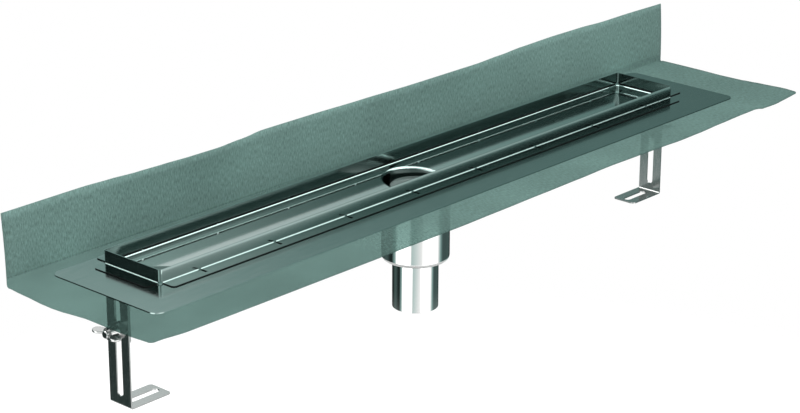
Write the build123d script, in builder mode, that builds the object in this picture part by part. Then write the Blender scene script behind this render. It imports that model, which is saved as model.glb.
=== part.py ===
from build123d import *
import os
from math import cos, radians, sin, tan

# Linear shower drain: a sheet-steel channel with a sealing flange and a bonded fleece, an outlet
# with a water-seal trap, and two slotted legs that set its height.
# Frame: +X along the channel to its seam end, +Y to the wall behind, +Z up. The origin is on the
# outlet's axis, at the level of the slab that the feet stand on. All sizes are in millimetres.

# Upstand, the raised rim that the tiles end against
channel_length = 800.0
channel_width = 80.0
upstand_height = 14.0
upstand_sheet = 1.0
upstand_corner_radius = 3.0
upstand_bend_radius = 1.0
foot_width = 15.5
seam_foot_width = 24.0
foot_corner_radius = 4.0
seam_gap = 0.4
weep_count = 8
weep_pitch = 100.0
weep_width = 3.0
weep_reach = 10.0

# Channel, one sheet with the flange, the shallow trough and the collar of the outlet
flange_height = 130.0
channel_sheet = 1.2
end_flange_reach = 52.0
front_flange_reach = 52.0
rear_flange_reach = 16.5
flange_corner_radius = 10.0
trough_setback = 1.5
trough_side_depth = 5.0
trough_corner_radius = 3.0
trough_rim_radius = 2.0
cross_fall = 3.5
end_fall_run = 57.0
valley_radius = 30.0
collar_radius = 34.5
collar_depth = 20.0
collar_rim_radius = 3.0

# Outlet socket, welded to the collar, and the spigot welded to the underside of its base
weld_clearance = 0.05
socket_wall = 1.0
socket_depth = 97.0
socket_top_gap = 1.3
socket_corner_radius = 5.0
spigot_radius = 25.0
spigot_wall = 1.2
spigot_length = 55.0
spigot_edge_radius = 0.5
weld_bevel = 0.5

# Water-seal trap: a standpipe plugged into the spigot, and a bell over it
standpipe_radius = 19.0
standpipe_wall = 2.0
seal_depth = 50.0
plug_clearance = 0.4
plug_length = 17.0
plug_chamfer = 1.0
seat_radius = 30.0
seat_thickness = 3.0
seat_fillet = 2.0
o_ring_section = 2.8
o_ring_squeeze = 0.0
o_ring_drop = 8.0
groove_side_gap = 0.3
bell_radius = 28.0
bell_wall = 1.8
bell_top_depth = 11.5
bell_dome_rise = 2.5
bell_corner_radius = 1.5
bell_foot_gap = 4.5
rib_count = 3
rib_thickness = 2.0
rib_guide_gap = 0.3
rib_guide_length = 20.0
rib_inner_radius = 15.0

# Sealing fleece, bonded under the flange and turned up behind it
fleece_thickness = 1.0
fleece_left_reach = 49.0
fleece_right_reach = 60.0
fleece_front_reach = 48.0
fleece_upturn = 72.0
fleece_fold_radius = 2.5
fleece_end_bond = 27.0
fleece_front_bond = 27.0
fleece_rear_bond = 14.0
fleece_corner_radius = 6.0

# Lugs, spot-welded under the ends of the flange
lug_sheet = 1.5
lug_width = 30.0
lug_inset = 34.0
lug_tab = 16.0
lug_bend_radius = 1.0
lug_corner_radius = 3.0
lug_margin = 10.5
lug_slot_width = 10.0
lug_slot_top = 12.0
bolt_drop = 51.5

# Legs
leg_sheet = 1.5
leg_width = 30.0
leg_top_drop = 12.0
leg_bend_radius = 1.0
leg_foot_length = 52.0
foot_toe_radius = 4.0
leg_top_corner_radius = 2.0
leg_slot_width = 8.5
leg_slot_top = 8.5
leg_slot_bottom = 10.0
foot_slot_heel = 10.0
foot_slot_toe = 4.0
slide_gap = 0.1

# Fasteners, M8
bolt_radius = 4.0
bolt_length = 21.5
bolt_end_chamfer = 0.8
hex_across_flats = 13.0
hex_height = 5.3
hex_half_angle = 30.0
washer_thickness = 1.6
head_washer_radius = 8.0
slot_washer_radius = 9.0
washer_hole_clearance = 0.2
spring_washer_radius = 7.4
spring_washer_thickness = 2.0
spring_washer_split = 1.5
thread_clearance = 0.05
hub_height = 9.0
hub_base_radius = 7.6
hub_top_radius = 6.2
wing_span = 36.0
wing_height = 16.0
wing_tip_radius = 5.9
wing_root_radius = 4.0
wing_thickness = 2.5
wing_edge_radius = 0.7
wing_tilt = 4.0

# How near an edge lies to the line that picks it, and the least web left between two roundings
pick_reach = 0.01
least_web = 0.05

# What follows from them
half_length = channel_length / 2
half_width = channel_width / 2
flange_underside = flange_height - channel_sheet
flange_end = half_length + end_flange_reach
flange_front = half_width + front_flange_reach
flange_rear = half_width + rear_flange_reach
bend_height = upstand_sheet + upstand_bend_radius
trough_half_length = half_length - upstand_sheet - trough_setback
trough_half_width = half_width - upstand_sheet - trough_setback
end_slope = cross_fall / end_fall_run
socket_bore = collar_radius + channel_sheet + weld_clearance
socket_radius = socket_bore + socket_wall
socket_top = flange_underside - trough_side_depth - cross_fall - socket_top_gap
socket_base = flange_height - socket_depth
cup_floor = socket_base + socket_wall
spigot_bore = spigot_radius - spigot_wall
spigot_bottom = socket_base - spigot_length
seat_top = cup_floor + seat_thickness
bell_foot = seat_top + bell_foot_gap
bell_apex = flange_height - bell_top_depth
bell_shoulder = bell_apex - bell_dome_rise
standpipe_bore = standpipe_radius - standpipe_wall
standpipe_top = bell_foot + seal_depth
plug_radius = spigot_bore - plug_clearance
o_ring_center_radius = spigot_bore + o_ring_squeeze - o_ring_section / 2
o_ring_level = cup_floor - o_ring_drop
bolt_level = flange_height - bolt_drop
lug_face = flange_end - lug_inset
leg_inner_face = lug_face + slide_gap
leg_outer_face = leg_inner_face + leg_sheet
slot_washer_face = leg_outer_face + slide_gap
spring_washer_face = slot_washer_face + washer_thickness
nut_face = spring_washer_face + spring_washer_thickness
head_face = lug_face - lug_sheet - washer_thickness
fleece_top = flange_underside
fleece_bottom = fleece_top - fleece_thickness
fleece_front = -(flange_front + fleece_front_reach)
fleece_wall_face = flange_rear + fleece_fold_radius
end_sides = {"left": -1, "right": 1}
finished = []


def bolt_plane(x):
    """The plane across the bolts' axis at x, with its own X along the channel's width."""
    return Plane((x, 0, bolt_level), x_dir=(0, 1, 0), z_dir=(1, 0, 0))


def corner_at(sketch, x, y):
    """The corner of a sketch that lies at x and y in the sketch's own plane."""
    return sketch.vertices().sort_by_distance((x, y, 0))[0]


def trough_form(grow, top):
    """The trough's hollow up to the level top, grown by grow on its sides and floor."""
    half_x = trough_half_length + grow
    half_y = trough_half_width + grow
    edge = flange_height - trough_side_depth - grow
    with BuildPart() as form:
        with BuildSketch(Plane.YZ):
            with BuildLine():
                FilletPolyline(
                    (-half_y, edge), (0, edge - cross_fall), (half_y, edge), radius=valley_radius
                )
                Polyline((half_y, edge), (half_y, top), (-half_y, top), (-half_y, edge))
            make_face()
        extrude(amount=half_x, both=True)
        with BuildSketch(Plane.XZ):
            with BuildLine():
                Polyline(
                    (-half_x, top),
                    (-half_x, edge),
                    (0, edge - end_slope * half_x),
                    (half_x, edge),
                    (half_x, top),
                    close=True,
                )
            make_face()
        extrude(amount=half_y, both=True, mode=Mode.INTERSECT)
        fillet(form.edges().filter_by(Axis.Z), trough_corner_radius + grow)
    return form.part


# Channel: the flange, the trough with its hipped floor, and the collar drawn down out of it
with BuildPart() as channel_body:
    with BuildSketch(Plane.XY.offset(flange_underside)):
        with Locations((0, (flange_rear - flange_front) / 2)):
            RectangleRounded(2 * flange_end, flange_front + flange_rear, flange_corner_radius)
    extrude(amount=channel_sheet)
    add(trough_form(channel_sheet, flange_underside))
    with BuildSketch(Plane.XY.offset(flange_height - collar_depth)):
        Circle(collar_radius + channel_sheet)
    extrude(amount=collar_depth - trough_side_depth - channel_sheet / 2)
    add(trough_form(0, flange_height + upstand_height), mode=Mode.SUBTRACT)
    trough_rim = channel_body.edges().group_by(Axis.Z)[-1].filter_by(
        lambda e: abs(e.center().X) < half_length and abs(e.center().Y) < half_width
    )
    fillet(trough_rim, trough_rim_radius)
    with BuildSketch(Plane.XY.offset(flange_height - collar_depth)):
        Circle(collar_radius)
    extrude(amount=collar_depth, mode=Mode.SUBTRACT)
    collar_rim = channel_body.edges().filter_by(
        lambda e: Vector(e.center().X, e.center().Y).length < collar_radius + channel_sheet / 2
        and e.center().Z > flange_height - trough_side_depth - 2 * cross_fall
        and e.center().Z < flange_height - trough_side_depth
        and e.geom_type != GeomType.LINE
    )
    fillet(collar_rim, collar_rim_radius)
channel_body.part.label = "channel_body"
finished.append(channel_body.part)

# Upstand: one strip bent round to a seam in the right-hand end, its feet turned out on the flange
with BuildPart() as upstand_frame:
    with BuildSketch(Plane.XY.offset(flange_height)):
        RectangleRounded(channel_length, channel_width, upstand_corner_radius)
        RectangleRounded(
            channel_length - 2 * upstand_sheet,
            channel_width - 2 * upstand_sheet,
            upstand_corner_radius - upstand_sheet,
            mode=Mode.SUBTRACT,
        )
    extrude(amount=upstand_height)
    foot_span = foot_width + upstand_sheet
    seam_foot_span = seam_foot_width + upstand_sheet
    with BuildSketch(Plane.XY.offset(flange_height)) as feet:
        with GridLocations(0, channel_width + foot_width - upstand_sheet, 1, 2):
            Rectangle(channel_length - 2 * upstand_corner_radius, foot_span)
        with Locations((-(half_length - upstand_sheet + foot_span / 2), 0)):
            Rectangle(foot_span, channel_width - 2 * upstand_corner_radius)
        with Locations((half_length - upstand_sheet + seam_foot_span / 2, 0)):
            Rectangle(seam_foot_span, channel_width - 2 * upstand_corner_radius)
        foot_tips = feet.vertices().filter_by(
            lambda v: abs(v.Y) > half_width + upstand_sheet or abs(v.X) > half_length + upstand_sheet
        )
        fillet(foot_tips, foot_corner_radius)
    extrude(amount=upstand_sheet)
    with BuildSketch(Plane.XY.offset(flange_height)):
        with GridLocations(channel_length, channel_width, 2, 2):
            Rectangle(2 * upstand_corner_radius, 2 * upstand_corner_radius)
    extrude(amount=bend_height, mode=Mode.SUBTRACT)
    wall_roots = upstand_frame.edges().filter_by(
        lambda e: e.geom_type == GeomType.LINE
        and abs(e.center().Z - flange_height - upstand_sheet) < pick_reach
        and (
            abs(abs(e.center().Y) - half_width) < pick_reach
            or abs(abs(e.center().X) - half_length) < pick_reach
        )
        and e.length > channel_width / 2
    )
    fillet(wall_roots, upstand_bend_radius)
    wall_heels = upstand_frame.edges().filter_by(
        lambda e: e.geom_type == GeomType.LINE
        and abs(e.center().Z - flange_height) < pick_reach
        and (
            abs(abs(e.center().Y) - half_width + upstand_sheet) < pick_reach
            or abs(abs(e.center().X) - half_length + upstand_sheet) < pick_reach
        )
        and e.length > channel_width / 2
    )
    fillet(wall_heels, bend_height - least_web)
    weep_span = weep_reach + bend_height
    with BuildSketch(Plane.XY.offset(flange_height)):
        with GridLocations(weep_pitch, channel_width + 2 * weep_reach - weep_span, weep_count, 2):
            Rectangle(weep_width, weep_span)
    extrude(amount=bend_height + upstand_bend_radius / 2, mode=Mode.SUBTRACT)
    with BuildSketch(Plane.XY.offset(flange_height)):
        with Locations((half_length + seam_foot_width / 2, 0)):
            Rectangle(2 * seam_foot_width, seam_gap)
    extrude(amount=2 * upstand_height, mode=Mode.SUBTRACT)
upstand_frame.part.label = "upstand_frame"
finished.append(upstand_frame.part)

# Outlet socket: a drawn cup round the collar, with the spigot's bore through its base
with BuildPart() as cup_hollow:
    with BuildSketch(Plane.XY.offset(cup_floor)):
        Circle(socket_bore)
    extrude(amount=socket_top - cup_floor)
    fillet(cup_hollow.edges().group_by(Axis.Z)[0], socket_corner_radius - socket_wall)
with BuildPart() as outlet_socket:
    with BuildSketch(Plane.XY.offset(socket_base)):
        Circle(socket_radius)
    extrude(amount=socket_top - socket_base)
    fillet(outlet_socket.edges().group_by(Axis.Z)[0], socket_corner_radius)
    add(cup_hollow.part, mode=Mode.SUBTRACT)
    with BuildSketch(Plane.XY.offset(socket_base)):
        Circle(spigot_bore)
    extrude(amount=socket_wall, mode=Mode.SUBTRACT)
outlet_socket.part.label = "outlet_socket"
finished.append(outlet_socket.part)

# Outlet spigot, its upper edge bevelled for the weld to the socket's base
with BuildPart() as outlet_spigot:
    with BuildSketch(Plane.XY.offset(spigot_bottom)):
        Circle(spigot_radius)
        Circle(spigot_bore, mode=Mode.SUBTRACT)
    extrude(amount=socket_base - spigot_bottom)
    fillet(outlet_spigot.edges().group_by(Axis.Z)[0].sort_by(SortBy.RADIUS)[-1], spigot_edge_radius)
    chamfer(outlet_spigot.edges().group_by(Axis.Z)[-1].sort_by(SortBy.RADIUS)[-1], weld_bevel)
outlet_spigot.part.label = "outlet_spigot"
finished.append(outlet_spigot.part)

# Standpipe: its seat rests on the socket's floor and its plug carries the ring in the spigot
with BuildPart() as trap_standpipe:
    groove_half = o_ring_section / 2 + groove_side_gap
    groove_radius = o_ring_center_radius - o_ring_section / 2
    with BuildSketch(Plane.XZ):
        with BuildLine():
            Polyline(
                (standpipe_bore, cup_floor - plug_length),
                (plug_radius - plug_chamfer, cup_floor - plug_length),
                (plug_radius, cup_floor - plug_length + plug_chamfer),
                (plug_radius, o_ring_level - groove_half),
                (groove_radius, o_ring_level - groove_half),
                (groove_radius, o_ring_level + groove_half),
                (plug_radius, o_ring_level + groove_half),
                (plug_radius, cup_floor),
                (seat_radius, cup_floor),
                (seat_radius, seat_top),
                (standpipe_radius, seat_top),
                (standpipe_radius, standpipe_top),
                (standpipe_bore, standpipe_top),
                close=True,
            )
        make_face()
    revolve(axis=Axis.Z)
    seat_root = trap_standpipe.edges().filter_by(
        lambda e: e.geom_type == GeomType.CIRCLE
        and abs(e.radius - standpipe_radius) < pick_reach
        and abs(e.center().Z - seat_top) < pick_reach
    )
    fillet(seat_root, seat_fillet)
trap_standpipe.part.label = "trap_standpipe"
finished.append(trap_standpipe.part)

# Ring between the plug and the spigot's bore
with BuildPart() as trap_seal_ring:
    with BuildSketch(Plane.XZ):
        with Locations((o_ring_center_radius, o_ring_level)):
            Circle(o_ring_section / 2)
    revolve(axis=Axis.Z)
trap_seal_ring.part.label = "trap_seal_ring"
finished.append(trap_seal_ring.part)

# Bell: a domed cup turned down over the standpipe, its ribs resting on the standpipe's rim
with BuildPart() as trap_bell:
    bell_bore = bell_radius - bell_wall
    with BuildSketch(Plane.XZ):
        with BuildLine():
            Line((0, bell_apex - bell_wall), (0, bell_apex))
            RadiusArc(
                (0, bell_apex),
                (bell_radius, bell_shoulder),
                (bell_radius**2 + bell_dome_rise**2) / (2 * bell_dome_rise),
            )
            Polyline((bell_radius, bell_shoulder), (bell_radius, bell_foot), (bell_bore, bell_foot))
            Polyline(
                (bell_bore, bell_foot),
                (bell_bore, bell_shoulder - bell_wall),
                (0, bell_apex - bell_wall),
            )
        make_face()
    revolve(axis=Axis.Z)
    bell_rim = trap_bell.edges().filter_by(
        lambda e: e.geom_type == GeomType.CIRCLE
        and abs(e.radius - bell_radius) < pick_reach
        and e.center().Z > bell_shoulder - pick_reach
    )
    fillet(bell_rim, bell_corner_radius)
    rib_outer = bell_bore + bell_wall / 2
    rib_center = (rib_inner_radius + rib_outer) / 2
    guide_inner = standpipe_radius + rib_guide_gap
    with BuildSketch(Plane.XY.offset(standpipe_top)):
        with PolarLocations(rib_center, rib_count):
            Rectangle(rib_outer - rib_inner_radius, rib_thickness)
    extrude(amount=bell_shoulder - bell_wall / 2 - standpipe_top)
    with BuildSketch(Plane.XY.offset(standpipe_top - rib_guide_length)):
        with PolarLocations((guide_inner + rib_outer) / 2, rib_count):
            Rectangle(rib_outer - guide_inner, rib_thickness)
    extrude(amount=rib_guide_length + rib_thickness)
trap_bell.part.label = "trap_bell"
finished.append(trap_bell.part)

# Sealing fleece: one sheet with a window for the trough, folded up behind the flange
with BuildPart() as sealing_fleece:
    fleece_back = fleece_wall_face + fleece_thickness
    with BuildSketch(Plane.YZ.offset(-(flange_end + fleece_left_reach))) as fold_section:
        with BuildLine():
            Polyline(
                (fleece_front, fleece_top),
                (fleece_wall_face, fleece_top),
                (fleece_wall_face, flange_height + fleece_upturn),
                (fleece_back, flange_height + fleece_upturn),
                (fleece_back, fleece_bottom),
                (fleece_front, fleece_bottom),
                close=True,
            )
        make_face()
        fillet(corner_at(fold_section, fleece_wall_face, fleece_top), fleece_fold_radius)
        fillet(
            corner_at(fold_section, fleece_back, fleece_bottom), fleece_fold_radius + fleece_thickness
        )
    extrude(amount=2 * flange_end + fleece_left_reach + fleece_right_reach)
    window_half = flange_end - fleece_end_bond
    window_front = flange_front - fleece_front_bond
    window_rear = flange_rear - fleece_rear_bond
    with BuildSketch(Plane.XY.offset(fleece_bottom)):
        with Locations((0, (window_rear - window_front) / 2)):
            Rectangle(2 * window_half, window_front + window_rear)
    extrude(amount=fleece_thickness, mode=Mode.SUBTRACT)
    fleece_corners = sealing_fleece.edges().filter_by(Axis.Z).filter_by(
        lambda e: e.center().Y < fleece_front + pick_reach
    )
    fillet(fleece_corners, fleece_corner_radius)
sealing_fleece.part.label = "sealing_fleece"
finished.append(sealing_fleece.part)


def make_lug(side):
    """An angle under the flange's end: a tab welded up to it, and a slotted face for the bolt."""
    outer = side * lug_face
    inner = side * (lug_face - lug_sheet)
    tab_tip = side * (lug_face - lug_tab)
    lug_bottom = bolt_level - lug_margin
    with BuildPart() as lug:
        with BuildSketch(Plane.XZ) as section:
            with BuildLine():
                Polyline(
                    (outer, lug_bottom),
                    (outer, flange_underside),
                    (tab_tip, flange_underside),
                    (tab_tip, flange_underside - lug_sheet),
                    (inner, flange_underside - lug_sheet),
                    (inner, lug_bottom),
                    close=True,
                )
            make_face()
            fillet(corner_at(section, outer, flange_underside), lug_bend_radius + lug_sheet)
            fillet(corner_at(section, inner, flange_underside - lug_sheet), lug_bend_radius)
        extrude(amount=lug_width / 2, both=True)
        fillet(lug.edges().filter_by(Axis.X).group_by(Axis.Z)[0], lug_corner_radius)
        slot_foot = bolt_level - lug_slot_width / 2
        slot_length = flange_underside - lug_slot_top - slot_foot
        slot_middle = slot_foot + slot_length / 2
        with BuildSketch(Plane((inner, 0, slot_middle), x_dir=(0, 1, 0), z_dir=(1, 0, 0))):
            SlotOverall(slot_length, lug_slot_width, rotation=90)
        extrude(amount=side * lug_sheet, mode=Mode.SUBTRACT)
    return lug.part


def make_leg(side):
    """An angle with a long slot for the bolt and a shorter one through the foot."""
    outer = side * leg_outer_face
    inner = side * leg_inner_face
    toe = side * (leg_outer_face - leg_foot_length)
    leg_top = flange_height - leg_top_drop
    with BuildPart() as leg:
        with BuildSketch(Plane.XZ) as section:
            with BuildLine():
                Polyline(
                    (toe, 0),
                    (outer, 0),
                    (outer, leg_top),
                    (inner, leg_top),
                    (inner, leg_sheet),
                    (toe, leg_sheet),
                    close=True,
                )
            make_face()
            fillet(corner_at(section, outer, 0), leg_bend_radius + leg_sheet)
            fillet(corner_at(section, inner, leg_sheet), leg_bend_radius)
        extrude(amount=leg_width / 2, both=True)
        toe_edges = leg.edges().filter_by(Axis.Z).filter_by(lambda e: abs(e.center().X - toe) < pick_reach)
        fillet(toe_edges, foot_toe_radius)
        fillet(leg.edges().filter_by(Axis.X).group_by(Axis.Z)[-1], leg_top_corner_radius)
        slot_length = leg_top - leg_slot_top - leg_slot_bottom
        slot_middle = leg_slot_bottom + slot_length / 2
        with BuildSketch(Plane((inner, 0, slot_middle), x_dir=(0, 1, 0), z_dir=(1, 0, 0))):
            SlotOverall(slot_length, leg_slot_width, rotation=90)
        extrude(amount=side * leg_sheet, mode=Mode.SUBTRACT)
        foot_slot_length = leg_foot_length - foot_slot_heel - foot_slot_toe
        foot_slot_middle = toe + side * (foot_slot_toe + foot_slot_length / 2)
        with BuildSketch():
            with Locations((foot_slot_middle, 0)):
                SlotOverall(foot_slot_length, leg_slot_width)
        extrude(amount=leg_sheet, mode=Mode.SUBTRACT)
    return leg.part


def make_bolt(side):
    """A hexagon-head bolt whose head is inside the lug and whose end points outwards."""
    face = side * head_face
    head_end = side * (head_face - hex_height)
    corner = hex_across_flats / 2 / cos(radians(hex_half_angle))
    flat = hex_across_flats / 2
    crown = (corner - flat) * tan(radians(hex_half_angle))
    with BuildPart() as bolt:
        with BuildSketch(bolt_plane(face)):
            RegularPolygon(flat, 6, major_radius=False)
        extrude(amount=-side * hex_height)
        with BuildSketch(Plane.XZ):
            with BuildLine():
                Polyline(
                    (head_end, bolt_level),
                    (head_end, bolt_level + flat),
                    (head_end + side * crown, bolt_level + corner),
                    (face, bolt_level + corner),
                    (face, bolt_level),
                    close=True,
                )
            make_face()
        revolve(axis=Axis((0, 0, bolt_level), (1, 0, 0)), mode=Mode.INTERSECT)
        with BuildSketch(bolt_plane(face)):
            Circle(bolt_radius)
        extrude(amount=side * bolt_length)
        tips = bolt.edges().filter_by(GeomType.CIRCLE).sort_by(Axis.X)
        chamfer(tips[-1] if side > 0 else tips[0], bolt_end_chamfer)
    return bolt.part


def make_washer(side, face, outer_radius, thickness, split):
    """A washer whose inner face is at face, with a gap of split across its ring."""
    with BuildPart() as washer:
        with BuildSketch(bolt_plane(side * face)):
            Circle(outer_radius)
            Circle(bolt_radius + washer_hole_clearance, mode=Mode.SUBTRACT)
            if split > 0:
                with Locations((0, outer_radius)):
                    Rectangle(split, 2 * (outer_radius - bolt_radius), mode=Mode.SUBTRACT)
        extrude(amount=side * thickness)
    return washer.part


def make_wing_nut(side):
    """A cone-sided hub with two flat wings that spread outwards and away from the leg."""
    tilt = side * radians(wing_tilt)
    wing_plane = Plane(
        (side * nut_face, 0, bolt_level),
        x_dir=(0, cos(tilt), -sin(tilt)),
        z_dir=(0, -side * sin(tilt), -side * cos(tilt)),
    )
    tip = (wing_span / 2 - wing_tip_radius, wing_height - wing_tip_radius)
    root = (wing_root_radius / 2, wing_root_radius)
    with BuildPart() as nut:
        with BuildSketch(wing_plane):
            with Locations(tip):
                Circle(wing_tip_radius)
            with Locations(root):
                Circle(wing_root_radius)
            make_hull()
            mirror(about=Plane.YZ)
        extrude(amount=wing_thickness / 2, both=True)
        flat_sides = nut.faces().sort_by(SortBy.AREA)[-2:]
        fillet(flat_sides.edges(), wing_edge_radius)
        with BuildSketch(Plane.XZ):
            with BuildLine():
                Polyline(
                    (side * nut_face, bolt_level),
                    (side * nut_face, bolt_level + hub_base_radius),
                    (side * (nut_face + hub_height), bolt_level + hub_top_radius),
                    (side * (nut_face + hub_height), bolt_level),
                    close=True,
                )
            make_face()
        revolve(axis=Axis((0, 0, bolt_level), (1, 0, 0)))
        with BuildSketch(bolt_plane(side * nut_face)):
            Circle(bolt_radius + thread_clearance)
        extrude(amount=side * wing_height, mode=Mode.SUBTRACT)
    return nut.part


for end, side in end_sides.items():
    lug = make_lug(side)
    lug.label = f"lug_{end}"
    leg = make_leg(side)
    leg.label = f"leg_{end}"
    bolt = make_bolt(side)
    bolt.label = f"clamp_bolt_{end}"
    head_washer = make_washer(side, head_face, head_washer_radius, washer_thickness, 0)
    head_washer.label = f"head_washer_{end}"
    slot_washer = make_washer(side, slot_washer_face, slot_washer_radius, washer_thickness, 0)
    slot_washer.label = f"slot_washer_{end}"
    spring_washer = make_washer(
        side,
        spring_washer_face,
        spring_washer_radius,
        spring_washer_thickness,
        spring_washer_split,
    )
    spring_washer.label = f"spring_washer_{end}"
    wing_nut = make_wing_nut(side)
    wing_nut.label = f"wing_nut_{end}"
    finished += [lug, leg, bolt, head_washer, slot_washer, spring_washer, wing_nut]

os.makedirs("parts", exist_ok=True)
for piece in finished:
    export_step(piece, f"parts/{piece.label}.step")
    print(piece.label, round(piece.volume, 1), piece.is_valid)
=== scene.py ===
"""Linear shower drain: looks of its steel, its sealing fleece and its trap, in a small studio."""

import logging
import math
from dataclasses import dataclass
from enum import Enum
from typing import Any, Callable, Sequence

import bmesh
import bpy
from mathutils import Matrix, Vector


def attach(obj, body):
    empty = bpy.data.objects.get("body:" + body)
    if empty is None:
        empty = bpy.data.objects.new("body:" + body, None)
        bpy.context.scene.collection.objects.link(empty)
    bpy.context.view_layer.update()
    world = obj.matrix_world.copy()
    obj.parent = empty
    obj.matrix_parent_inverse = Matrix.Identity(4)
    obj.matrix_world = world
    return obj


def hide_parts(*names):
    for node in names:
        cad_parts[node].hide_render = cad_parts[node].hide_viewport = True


LOG = logging.getLogger("shower_drain")
MM = 0.001

# A noise texture's values mostly lie between these two.
NOISE_LOW = 0.3
NOISE_HIGH = 0.7

Rgba = tuple[float, float, float, float]
Knots = Sequence[tuple[float, float]]


def linear(hex_colour: str, alpha: float = 1.0) -> Rgba:
    """Turn an sRGB hex value into the linear colour that a shader takes.

    Args:
        hex_colour: six hex digits, without a hash sign.
        alpha: the fourth number.

    Returns:
        Linear red, green and blue, with alpha.
    """
    parts = [int(hex_colour[i : i + 2], 16) / 255 for i in (0, 2, 4)]
    red, green, blue = (c / 12.92 if c <= 0.04045 else ((c + 0.055) / 1.055) ** 2.4 for c in parts)
    return red, green, blue, alpha


def add_node(tree: bpy.types.NodeTree, kind: str, **settings: Any) -> bpy.types.Node:
    """Add a node, with its properties and its sockets set.

    Args:
        tree: the node tree.
        kind: the node's type name.
        **settings: a property's name, or a socket's name or index after "in_", with spaces as
            underscores. A socket given as a value is linked to the input.

    Returns:
        The new node.
    """
    node = tree.nodes.new(kind)
    for name, value in settings.items():
        if not name.startswith("in_"):
            setattr(node, name, value)
    for name, value in settings.items():
        if name.startswith("in_"):
            key = name[3:]
            socket = node.inputs[int(key)] if key.isdigit() else node.inputs[key.replace("_", " ")]
            if isinstance(value, bpy.types.NodeSocket):
                tree.links.new(value, socket)
            else:
                socket.default_value = value
    return node


def new_material(name: str) -> tuple[bpy.types.Material, bpy.types.NodeTree, bpy.types.Node]:
    """Make an empty node material.

    Args:
        name: the material's name.

    Returns:
        The material, its tree and its output node.
    """
    material = bpy.data.materials.new(name)
    material.use_nodes = True
    tree = material.node_tree
    tree.nodes.clear()
    return material, tree, tree.nodes.new("ShaderNodeOutputMaterial")


def ease(share: float) -> float:
    """Turn a share that grows evenly into one that starts and stops softly.

    Args:
        share: any number, held between 0 and 1.

    Returns:
        The eased share, from 0 to 1.
    """
    share = min(max(share, 0.0), 1.0)
    return share * share * (3 - 2 * share)


def wave(knots: Knots, at: float) -> float:
    """Read a smooth curve through knots.

    Args:
        knots: pairs of place and height, in order of place.
        at: the place.

    Returns:
        The height there, level beyond the first and the last knot.
    """
    if at <= knots[0][0]:
        return knots[0][1]
    for (x0, y0), (x1, y1) in zip(knots, knots[1:]):
        if at <= x1:
            return y0 + (y1 - y0) * ease((at - x0) / (x1 - x0))
    return knots[-1][1]


class Grain(Enum):
    """The way a surface's fine marks run, as the shrink of a pattern along X, Y and Z."""

    ALONG_CHANNEL = (0.04, 1.0, 1.0)
    ROUND_PIPE = (1.0, 1.0, 12.0)
    ROLLED_UPRIGHT = (1.0, 1.0, 0.06)
    NONE = (1.0, 1.0, 1.0)


@dataclass(frozen=True)
class SteelFinish:
    """Stainless steel, worked as the name says.

    Attributes:
        name: the material's name.
        colour: sRGB hex of the bare metal.
        roughness: the mean roughness of the surface.
        grain: the way its marks run.
        grain_mm: the width of a mark.
        grain_depth: how far the marks change the roughness.
        bump_mm: the height of the marks.
        bow: how a bent-up wall leans back with height, as the curve's half steepness per metre.
        bow_from: the height in metres where that lean starts.
        cloud_mm: the width of the faint clouds in its tone.
        cloud_depth: how far the clouds lighten and darken it.
        smoothest: the least roughness that the marks leave.
        bump_strength: how much of the marks' height shows.
    """

    name: str
    colour: str
    roughness: float
    grain: Grain
    grain_mm: float
    grain_depth: float
    bump_mm: float
    bow: float = 0.0
    bow_from: float = 0.130
    cloud_mm: float = 60.0
    cloud_depth: float = 0.05
    smoothest: float = 0.02
    bump_strength: float = 0.5

    def material(self) -> bpy.types.Material:
        """Build the metal: marks in its roughness, a faint tone and a shallow bump."""
        material, tree, out = new_material(self.name)
        place = add_node(tree, "ShaderNodeTexCoord")
        shrink = Vector(self.grain.value) / (self.grain_mm * MM)
        marks_at = add_node(
            tree,
            "ShaderNodeVectorMath",
            operation="MULTIPLY",
            in_0=place.outputs["Object"],
            in_1=shrink,
        )
        marks = add_node(
            tree, "ShaderNodeTexNoise", in_Vector=marks_at.outputs[0], in_Scale=1.0, in_Detail=3.0
        )
        clouds = add_node(
            tree,
            "ShaderNodeTexNoise",
            in_Vector=place.outputs["Object"],
            in_Scale=1 / (self.cloud_mm * MM),
        )
        rough = add_node(
            tree,
            "ShaderNodeMapRange",
            in_Value=marks.outputs["Fac"],
            in_1=NOISE_LOW,
            in_2=NOISE_HIGH,
            in_3=max(self.roughness - self.grain_depth, self.smoothest),
            in_4=self.roughness + self.grain_depth,
        )
        bare = linear(self.colour)[:3]
        tone = add_node(
            tree,
            "ShaderNodeMix",
            data_type="RGBA",
            in_0=clouds.outputs["Fac"],
            in_6=(*[part * (1 - self.cloud_depth) for part in bare], 1.0),
            in_7=(*[part * (1 + self.cloud_depth) for part in bare], 1.0),
        )
        bump = add_node(
            tree,
            "ShaderNodeBump",
            in_Strength=self.bump_strength,
            in_Distance=self.bump_mm * MM,
            in_Height=marks.outputs["Fac"],
        )
        if self.bow:
            split = add_node(tree, "ShaderNodeSeparateXYZ", in_Vector=place.outputs["Object"])
            above = add_node(
                tree,
                "ShaderNodeMath",
                operation="SUBTRACT",
                in_0=split.outputs[2],
                in_1=self.bow_from,
            )
            square = add_node(
                tree,
                "ShaderNodeMath",
                operation="MULTIPLY",
                in_0=above.outputs[0],
                in_1=above.outputs[0],
            )
            leant = add_node(
                tree, "ShaderNodeMath", operation="MULTIPLY", in_0=square.outputs[0], in_1=-self.bow
            )
            lean = add_node(
                tree, "ShaderNodeBump", in_Strength=1.0, in_Distance=1.0, in_Height=leant.outputs[0]
            )
            tree.links.new(lean.outputs[0], bump.inputs["Normal"])
        shader = add_node(
            tree,
            "ShaderNodeBsdfPrincipled",
            in_Base_Color=tone.outputs[2],
            in_Metallic=1.0,
            in_Roughness=rough.outputs[0],
            in_Normal=bump.outputs[0],
        )
        tree.links.new(shader.outputs[0], out.inputs["Surface"])
        return material


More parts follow.
